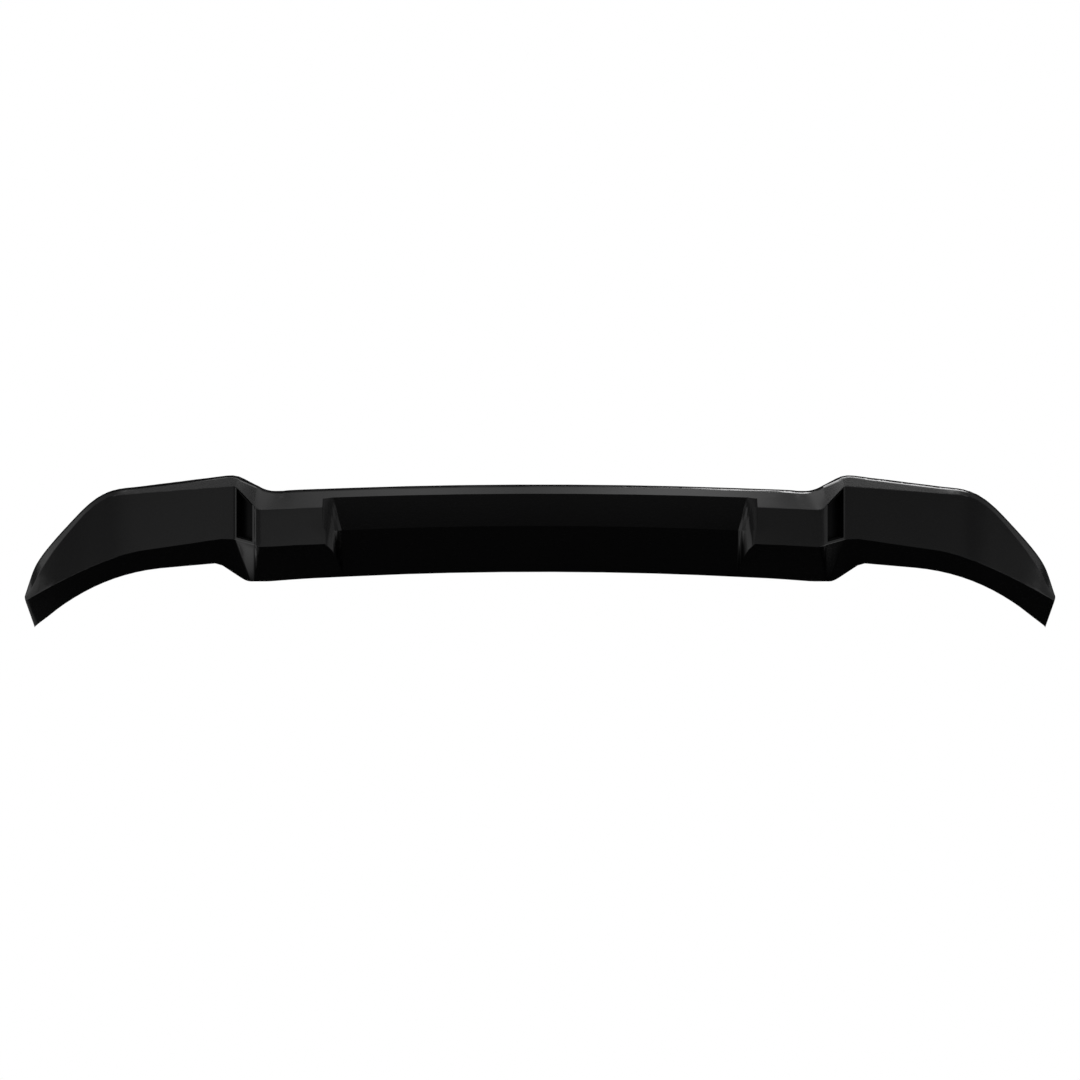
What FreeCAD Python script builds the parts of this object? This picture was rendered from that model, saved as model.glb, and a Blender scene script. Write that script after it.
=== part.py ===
import FreeCAD, Part
import os
import math

V = FreeCAD.Vector

# Overall sizes in mm. The work frame has y = 0 on the block faces and z = 0 at mid height.
half_width = 650.0
wall = 3.0
edge_r_top = 8.0
edge_r_crease = 3.0
lip_flat_r = 0.5
nose_flat_r = 2.0
nose_height = 10.0

# Centre section
centre_half = 344.0
top_z = 69.1
top_crown = 8.5
bevel_height = 23.6
bevel_depth = 16.0
face_low = 70.0
bottom_z = -40.1
bottom_crown = 12.0
bottom_depth = 47.0
plan_bow = 8.0

# Step between the centre and a wing
step_depth = 27.0
step_in = centre_half + 10.0
step_out = centre_half + 36.0
step_nose = centre_half + 48.0
roll_nose = centre_half + 20.0
roll_count = 4
dip_start = centre_half + 62.0
dip_end = centre_half + 23.0
dip_z = -52.6
shoulder = step_out + 17.0
shoulder_drop = 3.4
valley_start = centre_half - 16.0
valley_mid = centre_half - 5.0
valley_end = centre_half + 8.0
valley_rise = 7.7
valley_back = 5.0
corner_reach = (13.0, 2.5, 2.5, 9.0, 6.0, 6.0)
corner_turns = (0.0, 0.33, 0.67, 1.0)
slope_under = 0.40

# Wing curves: value at the root, slope, droop, where the droop starts and its power
wing_root = centre_half + 56.0
droop_start = half_width - 120.0
wing_top = (80.5, 0.125, 79.0, droop_start, 1.7)
wing_crease = (65.4, 0.075, 94.4, droop_start, 1.7)
wing_low = (0.7, 0.145, 22.7, half_width - 150.0, 1.5)
wing_bottom = (-29.0, 0.087, 19.0, half_width - 183.5, 2.14)
tip_round_start = half_width - 25.0
tip_round = 0.02
wing_sweep = 0.06
sweep_start = half_width - 150.0
sweep_curve = 0.0016
wing_bevel_slope = 0.7
tip_tilt = 0.28
tilt_start = half_width - 50.0
hollow_end = half_width - 60.0
wing_count = 12
wing_step = (half_width - dip_start) / wing_count
wing_stations = [dip_start + wing_step * (i + 1) for i in range(wing_count)]

# Leading edge
chord = 215.0
chord_bow = 0.00006
nose_z = 58.0
nose_crown = 0.00007
nose_bend = droop_start
nose_droop = 76.0
nose_power = 1.7
nose_sweep = 0.0055

# Centre recess
lip_height = 11.8
lip_set_in = 8.6
recess_z = 17.4
recess_crown = 5.6
recess_depth = 16.0
recess_half = 0.7326 * centre_half
recess_end = recess_half + 16.8
recess_ease = [
    (recess_half + 2.5, 0.80),
    (recess_half + 5.0, 0.50),
    (recess_half + 7.5, 0.29),
    (recess_half + 10.5, 0.13),
    (recess_half + 13.5, 0.035),
]
recess_slant = 6.0

# Vent slots and their inserts
slot_side_in = 2.6
slot_side_out = 2.6
slot_bottom = 3.0
slot_gap = 3.0
tray_flange = 2.0
tray_far = 0.6
tray_wall = 2.0
tray_rim = 1.5
tray_depth = 9.0
tray_gap = 0.2

# Studs, seals and tape
stud_row_y = 110.0
stud_plane_z = -24.0
stud_inner_x = 110.0
stud_outer_x = centre_half - 44.0
stud_r = 3.0
stud_length = 16.0
collar_r = 4.0
collar_clear = 0.1
head_r = 8.0
head_height = 3.0
boss_r = 13.0
boss_height = 33.0
seal_in_r = 4.6
seal_out_r = 12.0
seal_height = 3.0
tape_height = 1.0
tape_gap = 0.6
tape_end = half_width - 120.0
front_tape_span = (0.87, 0.94)
rear_tape_span = (0.05, 0.11)


def power_curve(x, values):
    start, slope, droop, bend, power = values
    drop = droop * (max(0.0, x - bend) / 100.0) ** power
    return start - slope * (x - wing_root) - drop


def nose_point(x):
    x = abs(x)
    over = max(0.0, x - nose_bend)
    y = chord - chord_bow * x * x - nose_sweep * over * over
    z = nose_z - nose_crown * x * x - nose_droop * (over / 100.0) ** nose_power
    return y, z


def centre_top(x):
    return top_z - top_crown * (x / centre_half) ** 2


def centre_bottom(x):
    return bottom_z - bottom_crown * (x / centre_half) ** 2


def centre_face_y(x):
    return plan_bow * ((x / centre_half) ** 2 - 1.0)


def with_nose(points, nose_x):
    y, z = nose_point(nose_x)
    low = V(nose_x, y - 2.0, z - nose_height)
    return points + [low, V(nose_x, y, z)]


def centre_station(x):
    y = centre_face_y(x)
    top = centre_top(x)
    points = [
        V(x, y + bevel_depth, top),
        V(x, y, top - bevel_height),
        V(x, y, top - face_low),
        V(x, y + bottom_depth, centre_bottom(x)),
    ]
    return with_nose(points, x)


def wing_face_y(x):
    bend = max(0.0, x - sweep_start)
    return step_depth + wing_sweep * (x - step_out) + sweep_curve * bend * bend


def wing_heights(x):
    top = power_curve(x, wing_top) - tip_round * max(0.0, x - tip_round_start) ** 2
    low = power_curve(x, wing_low)
    crease = max(power_curve(x, wing_crease), low + 0.35 * (top - low))
    return top, crease, low


def wing_station(x):
    top, crease, low = wing_heights(x)
    y = wing_face_y(x)
    tilt = tip_tilt * max(0.0, x - tilt_start) / (half_width - tilt_start)
    bottom_x = x
    for step in range(6):
        bottom_x = x + tilt * (power_curve(bottom_x, wing_bottom) - low)
    bottom = power_curve(bottom_x, wing_bottom)
    bottom_x = x + tilt * (bottom - low)
    points = [
        V(x + tilt * (top - low), y + wing_bevel_slope * (top - crease), top),
        V(x + tilt * (crease - low), y, crease),
        V(x, y, low),
        V(bottom_x, y + slope_under * (low - bottom), bottom),
    ]
    nose_y, z = nose_point(x)
    low_nose = V(x + tilt * (z - nose_height - low), nose_y - 2.0, z - nose_height)
    return points + [low_nose, V(x + tilt * (z - low), nose_y, z)]


def corner_station():
    top, crease, low = wing_heights(step_out)
    points = [
        V(step_out - 1.0, step_depth + wing_bevel_slope * (top - crease), top),
        V(step_out, step_depth, crease),
        V(step_out, step_depth, low - 3.0),
        V(dip_end, step_depth + slope_under * (low - dip_z), dip_z),
    ]
    return with_nose(points, step_nose)


def bend(start, mid, end, t):
    """A quadratic curve from start to end that leans towards mid."""
    return start * (1.0 - t) ** 2 + mid * (2.0 * t * (1.0 - t)) + end * t ** 2


def roll_station(share):
    """A station on the rounded outer edge of the block: share 0 on the step face, 1 on the block."""
    inner = centre_station(centre_half)
    turn = math.atan2(step_depth - 4.0, step_out - step_in)
    angle = turn * (1.0 - share)
    radius = (step_in - centre_half) / math.sin(turn)
    x = centre_half + radius * math.sin(angle)
    y = radius * (1.0 - math.cos(angle))
    ease = 1.0 - share
    valley_x = bend(valley_start, valley_mid, valley_end, ease)
    valley_z = bend(centre_top(valley_start), centre_top(valley_mid), centre_top(valley_mid) + valley_rise, ease)
    points = [
        V(valley_x, inner[0].y + valley_back * ease * ease, valley_z),
        V(x, y, inner[1].z + 5.0 * ease * ease),
        V(x, y, inner[2].z + 3.5 * ease * ease),
        V(centre_half + (dip_end - 9.0 - centre_half) * ease, inner[3].y, inner[3].z),
    ]
    return with_nose(points, centre_half + (roll_nose - centre_half) * ease)


def shoulder_station():
    points = wing_station(shoulder)
    points[3] = points[3] - V(0, 0, shoulder_drop)
    return points


def step_stations():
    """The step from the block to the wing, each crease rounded at the corner by its own reach."""
    first = roll_station(0.0)
    corner = corner_station()
    last = shoulder_station()
    stations = [first]
    for t in corner_turns:
        points = []
        for i, reach in enumerate(corner_reach):
            back = first[i] - corner[i]
            ahead = last[i] - corner[i]
            before = corner[i] + back * (min(reach, 0.6 * back.Length) / back.Length)
            after = corner[i] + ahead * (min(reach, 0.8 * ahead.Length) / ahead.Length)
            points.append(bend(before, corner[i], after, t))
        stations.append(points)
    return stations + [last, wing_station(dip_start)]


def rounded_wire(points, radii):
    """A closed wire: a corner is rounded by its radius, or cut flat where the radius is negative."""
    count = len(points)
    edges = []
    ends = []
    for i in range(count):
        p = points[i]
        a = points[i - 1] - p
        b = points[(i + 1) % count] - p
        half_angle = a.getAngle(b) / 2.0
        limit = 0.4 * min(a.Length, b.Length)
        back = min(abs(radii[i]) / math.tan(half_angle), limit)
        r = back * math.tan(half_angle)
        a.normalize()
        b.normalize()
        middle = (a + b).normalize()
        reach = r / math.sin(half_angle) - r
        ends.append((p + a * back, p + middle * reach, p + b * back))
    for i in range(count):
        start, mid, end = ends[i]
        if radii[i] > 0:
            edges.append(Part.Arc(start, mid, end).toShape())
        if radii[i] < 0:
            edges.append(Part.LineSegment(start, end).toShape())
        edges.append(Part.LineSegment(end, ends[(i + 1) % count][0]).toShape())
    return Part.Wire(edges)


def inset(points, depth):
    """The same station moved inwards by depth in its y-z outline."""
    count = len(points)
    lines = []
    for i in range(count):
        p = points[i]
        q = points[(i + 1) % count]
        dy = q.y - p.y
        dz = q.z - p.z
        length = math.hypot(dy, dz)
        ny = -dz / length
        nz = dy / length
        lines.append((p.y + ny * depth, p.z + nz * depth, dy, dz))
    result = []
    for i in range(count):
        y1, z1, dy1, dz1 = lines[i - 1]
        y2, z2, dy2, dz2 = lines[i]
        cross = dy1 * dz2 - dz1 * dy2
        t = ((y2 - y1) * dz2 - (z2 - z1) * dy2) / cross
        result.append(V(points[i].x, y1 + t * dy1, z1 + t * dz1))
    return result


def mirrored(points):
    return [V(-p.x, p.y, p.z) for p in points]


radii = (edge_r_top, edge_r_crease, edge_r_crease, -lip_flat_r, 0.0, -nose_flat_r)


def outer_wire(points):
    return rounded_wire(points, radii)


def inner_wire(points):
    return Part.makePolygon(inset(points, wall) + [inset(points, wall)[0]])


def skin(groups, make_wire, straight=False):
    """A closed solid from lofts that share their end wires, capped at both ends."""
    faces = []
    for ruled, stations in groups:
        loft = Part.makeLoft([make_wire(s) for s in stations], False, ruled or straight)
        faces += loft.Faces
    faces.append(Part.Face(make_wire(groups[0][1][0])))
    faces.append(Part.Face(make_wire(groups[-1][1][-1])))
    shell = Part.makeShell(faces)
    shell.sewShape()
    solid = Part.makeSolid(shell)
    if solid.Volume < 0:
        solid.reverse()
    return solid


centre_x = [centre_half * share for share in (0.0, 0.27, 0.53, 0.76, 0.915)]
half_centre = [centre_station(x) for x in centre_x]
half_centre += [roll_station(1.0 - i / float(roll_count)) for i in range(roll_count + 1)]
whole_centre = [mirrored(s) for s in reversed(half_centre[1:])] + half_centre
step_right = step_stations()
step_left = [mirrored(s) for s in reversed(step_right)]


def body_groups(last):
    wing = [wing_station(dip_start)]
    wing += [wing_station(x) for x in wing_stations if x < last + 0.01]
    left = [mirrored(s) for s in reversed(wing)]
    return [(False, left), (True, step_left), (False, whole_centre), (True, step_right), (False, wing)]


outer = skin(body_groups(half_width), outer_wire)
inner = skin(body_groups(hollow_end), inner_wire, True)


def polygon_wire(points):
    return Part.makePolygon(points + [points[0]])


def recess_station(x, grow, deep, slant=0.0):
    """The outline of the recess tool at x. deep is 1 in the recess and 0 past its sloped ends."""
    face_y = centre_face_y(x)
    top = centre_top(x)
    low = V(x, face_y, top - face_low)
    bottom = V(x, face_y + bottom_depth, centre_bottom(x))
    crease_z = recess_z - recess_crown * (x / recess_half) ** 2
    lip = V(x, face_y + lip_set_in + grow - (1.0 - deep), top - lip_height + grow)
    crease = V(x, face_y - 1.0 + deep * (recess_depth + 1.0) + grow, crease_z)
    meet = low + (bottom - low) * 0.92
    past = crease + (meet - crease) * 1.2
    past = V(x, face_y - 1.0 + deep * (past.y - face_y + 1.0) + grow, past.z)
    clear_y = -90.0
    shift = V(slant * deep, 0, 0)
    low_clear = V(x, clear_y, past.z)
    return [lip + shift * 0.6, crease - shift, past - shift, low_clear - shift, V(x, clear_y, lip.z) + shift * 0.6]


def recess_tool(grow):
    inside = recess_half + grow
    outside = recess_end + grow
    half = [recess_station(inside * t, grow, 1.0) for t in (0.0, 0.5)]
    right = [recess_station(inside, grow, 1.0, recess_slant)]
    middle = [mirrored(s) for s in reversed(half[1:] + right)] + half + right
    right += [recess_station(x + grow, grow, deep, recess_slant) for x, deep in recess_ease]
    right.append(recess_station(outside, grow, 0.0))
    left = [mirrored(s) for s in reversed(right)]
    return skin([(True, left), (False, middle), (True, right)], polygon_wire)


def parting_rows():
    """Points of the joint between the shells: on the face crease and on the leading edge."""
    rows = []
    for x in (0.0, 0.5 * recess_half, recess_half):
        rows.append(recess_station(x, 0.0, 1.0)[1])
    for x in (recess_ease[-1][0], centre_x[-1], centre_half):
        rows.append(centre_station(x)[1])
    rows += [s[1] for s in step_stations()]
    for x in wing_stations:
        rows.append(wing_station(x)[1])
    end = rows[-1]
    rows.append(V(end.x + 40.0, end.y + 10.0, end.z - 60.0))
    return rows


def parting_solid():
    """The space above the joint, ruled from the faces to the leading edge."""
    behind = -120.0
    ahead = 300.0
    ceiling = 200.0
    rear = []
    front = []
    for p in parting_rows():
        nose_y, nose_top = nose_point(min(p.x, half_width))
        rise = (nose_top - 0.5 * nose_height - p.z) / (nose_y - p.y)
        if p.x > half_width:
            rise = 0.0
        rear.append(V(p.x, behind, p.z + rise * (behind - p.y)))
        front.append(V(p.x, ahead, p.z + rise * (ahead - p.y)))
    wires = []
    for row in (rear, front):
        line = mirrored(list(reversed(row[1:]))) + row
        line.append(V(line[-1].x, line[-1].y, ceiling))
        line.append(V(line[0].x, line[0].y, ceiling))
        wires.append(polygon_wire(line))
    return Part.makeLoft(wires, True, True)


# The step face, as a frame: along runs from the wing to the block, inward points into the hollow.
corner = corner_station()
roll_start = roll_station(0.0)
along = V(roll_start[1].x - corner[1].x, roll_start[1].y - corner[1].y, 0.0)
step_length = along.Length
along.normalize()
inward = V(along.y, -along.x, 0.0)
wall_across = wall * abs(inward.y)


def step_line(i, share):
    """Height of crease i on the step face, share 0 at the wing and 1 at the block."""
    return corner[i].z + (roll_start[i].z - corner[i].z) * share


def step_prism(grow_near, grow_far, grow_low, top_drop, start, depth):
    """A prism through the step face: the slot outline grown at its sides and foot."""
    near = slot_side_in - grow_near
    far = step_length - slot_side_out + grow_far
    outline = []
    for u, crease, lift in (
        (near, 2, slot_bottom - grow_low),
        (far, 2, slot_bottom - grow_low),
        (far, 1, -top_drop),
        (near, 1, -top_drop),
    ):
        z = step_line(crease, u / step_length) + lift
        flat = corner[1] + along * u + inward * start
        outline.append(V(flat.x, flat.y, z))
    face = Part.Face(polygon_wire(outline))
    return face.extrude(inward * depth)


def vent_tray():
    """A blind tray: a flange on the inside of the step wall and a deeper pocket behind the slot."""
    seat = wall_across + tray_gap
    flange = step_prism(tray_flange, tray_far, 0.0, slot_gap, seat, tray_wall)
    pocket = step_prism(tray_rim, tray_far, 0.0, slot_gap, seat, tray_depth)
    hollow = step_prism(0.0, tray_far - tray_rim, -tray_rim, slot_gap + tray_rim, seat - 1.0, tray_depth - tray_wall + 1.0)
    return flange.fuse(pocket).cut(hollow).removeSplitter()


def both_sides(shape):
    return shape.mirror(V(0, 0, 0), V(1, 0, 0))


def stud(x):
    top = stud_plane_z + boss_height
    down = V(0, 0, -1)
    shank = Part.makeCylinder(stud_r, stud_length, V(x, stud_row_y, stud_plane_z), down)
    tip = max(shank.Edges, key=lambda e: -e.BoundBox.ZMin - 1000.0 * (e.BoundBox.ZLength > 0.1))
    shank = shank.makeChamfer(0.8, [tip])
    collar = Part.makeCylinder(collar_r, boss_height, V(x, stud_row_y, stud_plane_z))
    head = Part.makeCylinder(head_r, head_height, V(x, stud_row_y, top))
    return shank.fuse(collar).fuse(head).removeSplitter()


def boss(x):
    return Part.makeCylinder(boss_r, boss_height, V(x, stud_row_y, stud_plane_z))


def bore(x):
    return Part.makeCylinder(collar_r + collar_clear, boss_height + 2.0, V(x, stud_row_y, stud_plane_z - 1.0))


def seal(x):
    base = V(x, stud_row_y, stud_plane_z - seal_height)
    ring = Part.makeCylinder(seal_out_r, seal_height, base)
    return ring.cut(Part.makeCylinder(seal_in_r, seal_height, base))


def tape_wire(points, start, end):
    low = points[3]
    nose = points[4]
    dy = nose.y - low.y
    dz = nose.z - low.z
    length = math.hypot(dy, dz)
    out = V(0, dz / length, -dy / length)
    a = low + (nose - low) * start
    b = low + (nose - low) * end
    near = out * tape_gap
    far = out * (tape_gap + tape_height)
    return polygon_wire([a + near, b + near, b + far, a + far])


def tape(start, end):
    return skin(body_groups(tape_end), lambda s: tape_wire(s, start, end), True)


tool = recess_tool(0.0)
hollow = inner.cut(recess_tool(wall))
walls = outer.cut(tool).cut(hollow)
above = parting_solid()
upper = walls.common(above)
lower = walls.cut(above)

slot = step_prism(0.0, 0.0, 0.0, -40.0, -6.0, 14.0)
lower = lower.cut(slot).cut(both_sides(slot))
stud_x = (-stud_outer_x, -stud_inner_x, stud_inner_x, stud_outer_x)
for x in stud_x:
    lower = lower.fuse(boss(x)).cut(bore(x))

pieces = {
    "upper_shell": upper,
    "lower_shell": lower.removeSplitter(),
    "right_vent_insert": vent_tray(),
    "left_vent_insert": both_sides(vent_tray()),
    "mounting_studs": Part.makeCompound([stud(x) for x in stud_x]),
    "stud_seals": Part.makeCompound([seal(x) for x in stud_x]),
    "front_tape": tape(*front_tape_span),
    "rear_tape": tape(*rear_tape_span),
}

os.makedirs("parts", exist_ok=True)
for name, shape in pieces.items():
    shape.translate(V(0, -stud_row_y, -stud_plane_z))
    shape.exportStep("parts/%s.step" % name)
    print(name, shape.isValid(), len(shape.Solids), round(shape.Volume))
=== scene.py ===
import bpy
import math
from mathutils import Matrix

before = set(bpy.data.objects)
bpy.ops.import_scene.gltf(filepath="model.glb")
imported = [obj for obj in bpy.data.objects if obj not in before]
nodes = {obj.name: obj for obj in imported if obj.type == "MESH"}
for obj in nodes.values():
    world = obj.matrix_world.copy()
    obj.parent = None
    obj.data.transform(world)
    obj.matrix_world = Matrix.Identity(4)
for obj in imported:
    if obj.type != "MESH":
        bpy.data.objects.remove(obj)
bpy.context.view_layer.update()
scene = bpy.context.scene
scene.view_settings.view_transform = "Standard"

# Camera: level, squarely behind the part. The faces lie at FACE_Y and the photo's middle row at MID_Z.
FACE_Y = -0.110
MID_Z = 0.024
CAMERA_DISTANCE = 3.6
FRAME_WIDTH = 1.335
SENSOR = 36.0
CAMERA_REACH = 60.0

camera_data = bpy.data.cameras.new("camera")
camera_data.sensor_width = SENSOR
camera_data.lens = SENSOR * CAMERA_DISTANCE / FRAME_WIDTH
camera_data.clip_end = CAMERA_REACH
camera = bpy.data.objects.new("camera", camera_data)
camera.location = (0.0, FACE_Y - CAMERA_DISTANCE, MID_Z)
camera.rotation_euler = (math.radians(90.0), 0.0, 0.0)
scene.collection.objects.link(camera)
scene.camera = camera


def new_material(name):
    material = bpy.data.materials.new(name)
    material.use_nodes = True
    tree = material.node_tree
    return material, tree, tree.nodes["Principled BSDF"]


def noise(tree, scale_and_detail, coordinates):
    scale, detail = scale_and_detail
    node = tree.nodes.new("ShaderNodeTexNoise")
    node.inputs["Scale"].default_value = scale
    node.inputs["Detail"].default_value = detail
    tree.links.new(coordinates.outputs["Object"], node.inputs["Vector"])
    return node.outputs["Fac"]


def remap(tree, source, low, high):
    node = tree.nodes.new("ShaderNodeMapRange")
    node.inputs["To Min"].default_value = low
    node.inputs["To Max"].default_value = high
    tree.links.new(source, node.inputs["Value"])
    return node.outputs["Result"]


def mix_colour(tree, factor, first, second):
    node = tree.nodes.new("ShaderNodeMix")
    node.data_type = "RGBA"
    node.inputs[6].default_value = first + (1.0,)
    node.inputs[7].default_value = second + (1.0,)
    tree.links.new(factor, node.inputs["Factor"])
    return node.outputs[2]


def bump(tree, shader, height, strength, distance):
    node = tree.nodes.new("ShaderNodeBump")
    node.inputs["Strength"].default_value = strength
    node.inputs["Distance"].default_value = distance
    tree.links.new(height, node.inputs["Height"])
    tree.links.new(node.outputs["Normal"], shader.inputs["Normal"])


# Black lacquer and plastic. A noise is given by its scale, per metre, and its detail.
UNEVEN_GLOSS = (9.0, 3.0)
FINE_DUST = (1400.0, 2.0)
ORANGE_PEEL = (260.0, 2.0)
PEEL_STRENGTH = 0.10
DEEP_BLACK = (0.0012, 0.0012, 0.0014)
DUSTY_BLACK = (0.0030, 0.0030, 0.0034)
LACQUER_IOR = 1.5
GLOSS_ROUGH = (0.15, 0.20)
GLOSS_PEEL = 0.00012
VENT_ROUGH = (0.38, 0.50)
VENT_PEEL = 0.00020
VENT_SPECULAR = 0.08


def black_finish(name, rough, peel_depth):
    """Black finish with faint orange peel, a little uneven gloss and fine dust in the colour."""
    material, tree, shader = new_material(name)
    where = tree.nodes.new("ShaderNodeTexCoord")
    cloud = noise(tree, UNEVEN_GLOSS, where)
    dust = noise(tree, FINE_DUST, where)
    peel = noise(tree, ORANGE_PEEL, where)
    tree.links.new(remap(tree, cloud, *rough), shader.inputs["Roughness"])
    tree.links.new(mix_colour(tree, dust, DEEP_BLACK, DUSTY_BLACK), shader.inputs["Base Color"])
    shader.inputs["IOR"].default_value = LACQUER_IOR
    bump(tree, shader, peel, PEEL_STRENGTH, peel_depth)
    return material, shader


# Foam of the seals and tapes: fine open cells.
OPEN_CELLS = (1800.0, 4.0)
CELL_STRENGTH = 0.5
CELL_DEPTH = 0.0004
FOAM_DARK = (0.012, 0.012, 0.012)
FOAM_LIGHT = (0.035, 0.035, 0.036)
FOAM_ROUGH = 0.92


def foam(name):
    material, tree, shader = new_material(name)
    where = tree.nodes.new("ShaderNodeTexCoord")
    cells = noise(tree, OPEN_CELLS, where)
    tree.links.new(mix_colour(tree, cells, FOAM_DARK, FOAM_LIGHT), shader.inputs["Base Color"])
    shader.inputs["Roughness"].default_value = FOAM_ROUGH
    bump(tree, shader, cells, CELL_STRENGTH, CELL_DEPTH)
    return material


# Zinc plate of the studs: a fine grain in the colour and the gloss.
FINE_GRAIN = (900.0, 3.0)
ZINC_DARK = (0.50, 0.50, 0.49)
ZINC_LIGHT = (0.66, 0.66, 0.64)
ZINC_ROUGH = (0.28, 0.45)


def zinc(name):
    material, tree, shader = new_material(name)
    where = tree.nodes.new("ShaderNodeTexCoord")
    grain = noise(tree, FINE_GRAIN, where)
    tree.links.new(mix_colour(tree, grain, ZINC_DARK, ZINC_LIGHT), shader.inputs["Base Color"])
    tree.links.new(remap(tree, grain, *ZINC_ROUGH), shader.inputs["Roughness"])
    shader.inputs["Metallic"].default_value = 1.0
    return material


gloss, _ = black_finish("gloss_black_lacquer", GLOSS_ROUGH, GLOSS_PEEL)
vent, vent_shader = black_finish("vent_black_plastic", VENT_ROUGH, VENT_PEEL)
vent_shader.inputs["Specular IOR Level"].default_value = VENT_SPECULAR
rubber = foam("black_foam")
steel = zinc("zinc_plate")

finishes = {
    "upper_shell": gloss,
    "lower_shell": gloss,
    "left_vent_insert": vent,
    "right_vent_insert": vent,
    "mounting_studs": steel,
    "stud_seals": rubber,
    "front_tape": rubber,
    "rear_tape": rubber,
}
for name, material in finishes.items():
    mesh = nodes[name].data
    mesh.materials.clear()
    mesh.materials.append(material)

# The lower shell is shaded as one surface across its patches, with edges over SHARP_ANGLE kept sharp.
SHARP_ANGLE = 32.0
WELD_DISTANCE = 0.00002
lower = nodes["lower_shell"]
weld = lower.modifiers.new("weld", "WELD")
weld.merge_threshold = WELD_DISTANCE
edges = lower.modifiers.new("sharp_edges", "EDGE_SPLIT")
edges.split_angle = math.radians(SHARP_ANGLE)
lower.modifiers.new("weighted_normals", "WEIGHTED_NORMAL")


def stage_mesh(name, vertices, faces, material):
    mesh = bpy.data.meshes.new(name)
    mesh.from_pydata(vertices, [], faces)
    mesh.materials.append(material)
    item = bpy.data.objects.new(name, mesh)
    scene.collection.objects.link(item)
    return item


def glow(name, strength):
    material = bpy.data.materials.new(name)
    material.use_nodes = True
    tree = material.node_tree
    tree.nodes.clear()
    out = tree.nodes.new("ShaderNodeOutputMaterial")
    light = tree.nodes.new("ShaderNodeEmission")
    light.inputs["Strength"].default_value = strength
    tree.links.new(light.outputs["Emission"], out.inputs["Surface"])
    return material, tree, light


def card(name, vertices, faces, material):
    """A studio card that lights or shades the part and that the camera looks past."""
    item = stage_mesh(name, vertices, faces, material)
    item.visible_camera = False
    item.visible_shadow = False


def level_card(name, x_range, y_range, z, material):
    """A level rectangular card at height z."""
    x0, x1 = x_range
    y0, y1 = y_range
    card(name, [(x0, y0, z), (x1, y0, z), (x1, y1, z), (x0, y1, z)], [(0, 1, 2, 3)], material)


def profile(tree, axis_output, stops):
    """Strength along one axis: stops are (place, strength) pairs, with places in metres."""
    low = stops[0][0]
    high = stops[-1][0]
    place = tree.nodes.new("ShaderNodeMapRange")
    place.inputs["From Min"].default_value = low
    place.inputs["From Max"].default_value = high
    tree.links.new(axis_output, place.inputs["Value"])
    ramp = tree.nodes.new("ShaderNodeValToRGB")
    elements = ramp.color_ramp.elements
    while len(elements) < len(stops):
        elements.new(0.5)
    for element, (where, strength) in zip(elements, stops):
        element.position = (where - low) / (high - low)
        element.color = (strength, strength, strength, 1.0)
    tree.links.new(place.outputs["Result"], ramp.inputs["Fac"])
    return ramp.outputs["Color"]


def axes(tree):
    where = tree.nodes.new("ShaderNodeTexCoord")
    split = tree.nodes.new("ShaderNodeSeparateXYZ")
    tree.links.new(where.outputs["Object"], split.inputs["Vector"])
    return split.outputs


def product(tree, first, second, gain):
    node = tree.nodes.new("ShaderNodeMath")
    node.operation = "MULTIPLY"
    tree.links.new(first, node.inputs[0])
    tree.links.new(second, node.inputs[1])
    scaled = tree.nodes.new("ShaderNodeMath")
    scaled.operation = "MULTIPLY"
    scaled.inputs[1].default_value = gain
    tree.links.new(node.outputs["Value"], scaled.inputs[0])
    return scaled.outputs["Value"]


# The studio's reach: cards below at LOW_Z, overhead at TOP_Z, behind at BACK_Y and beside at SIDE_X.
LOW_Z = -0.62
TOP_Z = 3.6
BACK_Y = 1.3
SIDE_X = 3.2

# Front card: a curved grey screen behind the camera, lighter left of the middle and low down.
SCREEN_R = 5.0
SCREEN_TURN = 64.0
SCREEN_STEPS = 28
SCREEN_GAIN = 1.15
SCREEN_ACROSS = (
    (-4.5, 0.13), (-3.3, 0.21), (-2.9, 0.20), (-2.75, 0.18), (-2.45, 0.25),
    (-1.9, 0.32), (-0.9, 0.40), (-0.5, 0.41), (0.5, 0.27), (1.2, 0.22),
    (2.45, 0.23), (2.75, 0.15), (3.0, 0.16), (3.4, 0.25), (4.5, 0.21),
)
SCREEN_UP = ((-0.6, 1.0), (0.0, 1.0), (0.16, 0.72), (TOP_Z, 0.72))
screen_vertices = []
for i in range(SCREEN_STEPS + 1):
    angle = math.radians(-SCREEN_TURN + 2.0 * SCREEN_TURN * i / SCREEN_STEPS)
    for z in (LOW_Z, TOP_Z):
        screen_vertices.append((SCREEN_R * math.sin(angle), -SCREEN_R * math.cos(angle), z))
screen_faces = [(2 * i, 2 * i + 1, 2 * i + 3, 2 * i + 2) for i in range(SCREEN_STEPS)]
screen_material, screen_tree, screen_light = glow("front_screen", 1.0)
screen_axes = axes(screen_tree)
across = profile(screen_tree, screen_axes["X"], SCREEN_ACROSS)
upward = profile(screen_tree, screen_axes["Z"], SCREEN_UP)
screen_tree.links.new(product(screen_tree, across, upward, SCREEN_GAIN), screen_light.inputs["Strength"])
card("front_screen", screen_vertices, screen_faces, screen_material)

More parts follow.
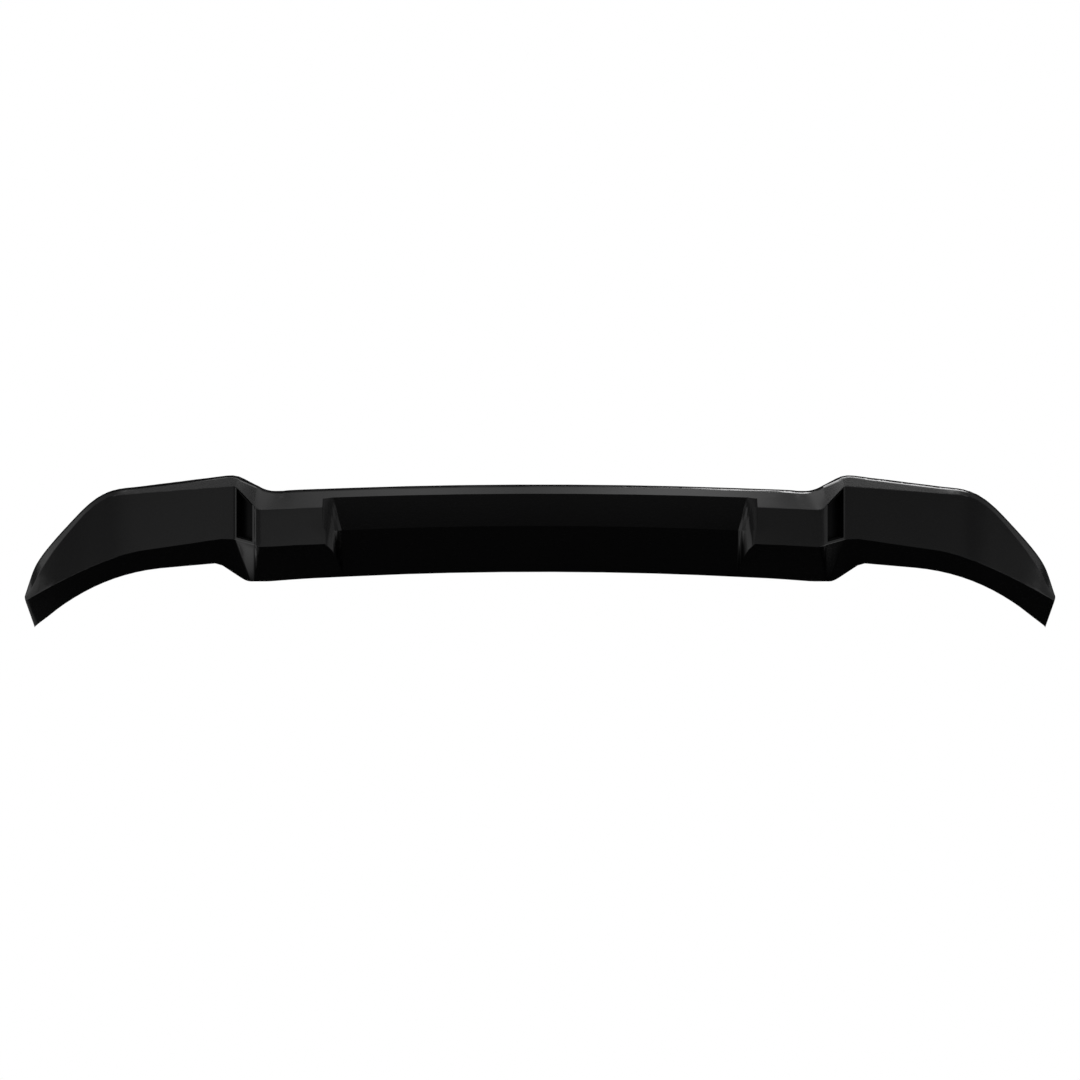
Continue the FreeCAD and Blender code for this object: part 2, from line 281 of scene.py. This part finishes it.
# Softbox overhead: brightest above the blocks and fading to its back edge.
TOP_FRONT = -3.0
TOP_GAIN = 2.3
TOP_ACROSS = (
    (-SIDE_X, 0.15), (-1.3, 0.20), (-0.85, 0.40), (-0.5, 0.68), (0.0, 0.32),
    (0.5, 1.0), (0.75, 0.85), (0.95, 0.26), (SIDE_X, 0.13),
)
TOP_ALONG = ((TOP_FRONT, 1.0), (-1.2, 1.0), (-0.3, 0.55), (0.6, 0.12), (BACK_Y, 0.04))
top_material, top_tree, top_light = glow("top_softbox", 1.0)
top_axes = axes(top_tree)
across = profile(top_tree, top_axes["X"], TOP_ACROSS)
along = profile(top_tree, top_axes["Y"], TOP_ALONG)
top_tree.links.new(product(top_tree, across, along, TOP_GAIN), top_light.inputs["Strength"])
level_card("top_softbox", (-SIDE_X, SIDE_X), (TOP_FRONT, BACK_Y), TOP_Z, top_material)

# A softbox at each side, dimmer towards its top.
SIDE_FRONT = -1.6
SIDE_LOW = -0.6
SIDE_FULL_Z = 0.9
SIDE_FADED_Z = 2.0
SIDE_FADED = 0.3
SIDE_LIGHTS = (("left_softbox", -SIDE_X, 0.70), ("right_softbox", SIDE_X, 0.40))
for name, x, strength in SIDE_LIGHTS:
    side_material, side_tree, side_light = glow(name, strength)
    side_stops = (
        (SIDE_LOW, strength),
        (SIDE_FULL_Z, strength),
        (SIDE_FADED_Z, SIDE_FADED),
        (TOP_Z, SIDE_FADED),
    )
    fade = profile(side_tree, axes(side_tree)["Z"], side_stops)
    side_tree.links.new(fade, side_light.inputs["Strength"])
    corners = [
        (x, SIDE_FRONT, SIDE_LOW),
        (x, BACK_Y, SIDE_LOW),
        (x, BACK_Y, TOP_Z),
        (x, SIDE_FRONT, TOP_Z),
    ]
    card(name, corners, [(0, 1, 2, 3)], side_material)

# A small brighter panel under the softbox on each side lights the bevel of the steps.
PANEL_Z = TOP_Z - 0.02
PANEL_IN = 1.25
PANEL_OUT = 2.05
PANEL_Y = (-1.0, -0.05)
STEP_PANELS = (("left_step_panel", -1.0, 2.6), ("right_step_panel", 1.0, 5.0))
for name, side_sign, strength in STEP_PANELS:
    panel_material, _, _ = glow(name, strength)
    level_card(name, (side_sign * PANEL_IN, side_sign * PANEL_OUT), PANEL_Y, PANEL_Z, panel_material)

# A bright strip overhead on the right draws the thin light line along the right top edges.
RIM_Z = TOP_Z - 0.04
RIM_X = (0.56, 2.6)
RIM_Y = (-0.05, 0.80)
RIM_STRENGTH = 12.0
rim_material, _, _ = glow("right_rim_strip", RIM_STRENGTH)
level_card("right_rim_strip", RIM_X, RIM_Y, RIM_Z, rim_material)

# A flag below, dark under the part, keeps the lower faces black.
LOW_X = 1.8
LOW_FRONT = -6.0
LOW_ALONG = (
    (LOW_FRONT, 0.16), (-2.3, 0.15), (-2.02, 0.11), (-1.84, 0.03), (-1.0, 0.012),
    (-0.6, 0.03), (0.10, 0.012), (0.28, 0.5), (BACK_Y, 0.5),
)
low_material, low_tree, low_light = glow("low_flag", 1.0)
low_tree.links.new(profile(low_tree, axes(low_tree)["Y"], LOW_ALONG), low_light.inputs["Strength"])
level_card("low_flag", (-LOW_X, LOW_X), (LOW_FRONT, BACK_Y), LOW_Z, low_material)

# A low glow on each side lights the foot of the step below the vents and fades towards the middle.
FOOT_IN = 0.62
FOOT_DIM = 1.0
FOOT_FULL = 1.45
DIM_SHARE = 0.35
FOOT_Z = LOW_Z + 0.01
FOOT_Y = (-0.36, 0.5)
FOOT_LIGHTS = (("left_foot_glow", -1.0, 0.80), ("right_foot_glow", 1.0, 0.05))
for name, side_sign, strength in FOOT_LIGHTS:
    foot_material, foot_tree, foot_light = glow(name, 1.0)
    distance = foot_tree.nodes.new("ShaderNodeMath")
    distance.operation = "ABSOLUTE"
    foot_tree.links.new(axes(foot_tree)["X"], distance.inputs[0])
    dim = DIM_SHARE * strength
    foot_stops = ((FOOT_IN, 0.0), (FOOT_DIM, dim), (FOOT_FULL, strength), (LOW_X, strength))
    fade = profile(foot_tree, distance.outputs["Value"], foot_stops)
    foot_tree.links.new(fade, foot_light.inputs["Strength"])
    level_card(name, (side_sign * FOOT_IN, side_sign * LOW_X), FOOT_Y, FOOT_Z, foot_material)

# A dark flag behind keeps the top edge black.
BACK_X = 3.15
BACK_STRENGTH = 0.04
back_material, _, _ = glow("back_flag", BACK_STRENGTH)
back_corners = [
    (-BACK_X, BACK_Y, LOW_Z),
    (BACK_X, BACK_Y, LOW_Z),
    (BACK_X, BACK_Y, TOP_Z),
    (-BACK_X, BACK_Y, TOP_Z),
]
card("back_flag", back_corners, [(0, 1, 2, 3)], back_material)


def larger(tree, first, second):
    node = tree.nodes.new("ShaderNodeMath")
    node.operation = "MAXIMUM"
    tree.links.new(first, node.inputs[0])
    tree.links.new(second, node.inputs[1])
    return node.outputs["Value"]


def seen(tree):
    """1 for rays from the camera, off glossy surfaces and through clear ones, else 0."""
    path = tree.nodes.new("ShaderNodeLightPath")
    direct = larger(tree, path.outputs["Is Camera Ray"], path.outputs["Is Glossy Ray"])
    return larger(tree, direct, path.outputs["Is Transmission Ray"])


# Pale floor well below the part, seen as plain white.
FLOOR_Z = -0.70
FLOOR_REACH = 20.0
FLOOR_COLOUR = (0.86, 0.86, 0.86, 1.0)
FLOOR_ROUGH = 0.9
floor_material, floor_tree, floor_shader = new_material("pale_floor")
floor_shader.inputs["Base Color"].default_value = FLOOR_COLOUR
floor_shader.inputs["Roughness"].default_value = FLOOR_ROUGH
floor_glow = floor_tree.nodes.new("ShaderNodeEmission")
floor_mix = floor_tree.nodes.new("ShaderNodeMixShader")
floor_tree.links.new(seen(floor_tree), floor_mix.inputs["Fac"])
floor_tree.links.new(floor_shader.outputs["BSDF"], floor_mix.inputs[1])
floor_tree.links.new(floor_glow.outputs["Emission"], floor_mix.inputs[2])
floor_tree.links.new(floor_mix.outputs["Shader"], floor_tree.nodes["Material Output"].inputs["Surface"])
floor_corners = [
    (-FLOOR_REACH, -FLOOR_REACH, FLOOR_Z),
    (FLOOR_REACH, -FLOOR_REACH, FLOOR_Z),
    (FLOOR_REACH, FLOOR_REACH, FLOOR_Z),
    (-FLOOR_REACH, FLOOR_REACH, FLOOR_Z),
]
stage_mesh("floor", floor_corners, [(0, 1, 2, 3)], floor_material)

# White surround, at a lower level for the light that it sheds.
SURROUND_LIGHT = 0.6
SURROUND_SEEN = 1.0
world = bpy.data.worlds.new("studio")
scene.world = world
world.use_nodes = True
world_tree = world.node_tree
background = world_tree.nodes["Background"]
background.inputs["Color"].default_value = (1.0, 1.0, 1.0, 1.0)
world_level = remap(world_tree, seen(world_tree), SURROUND_LIGHT, SURROUND_SEEN)
world_tree.links.new(world_level, background.inputs["Strength"])
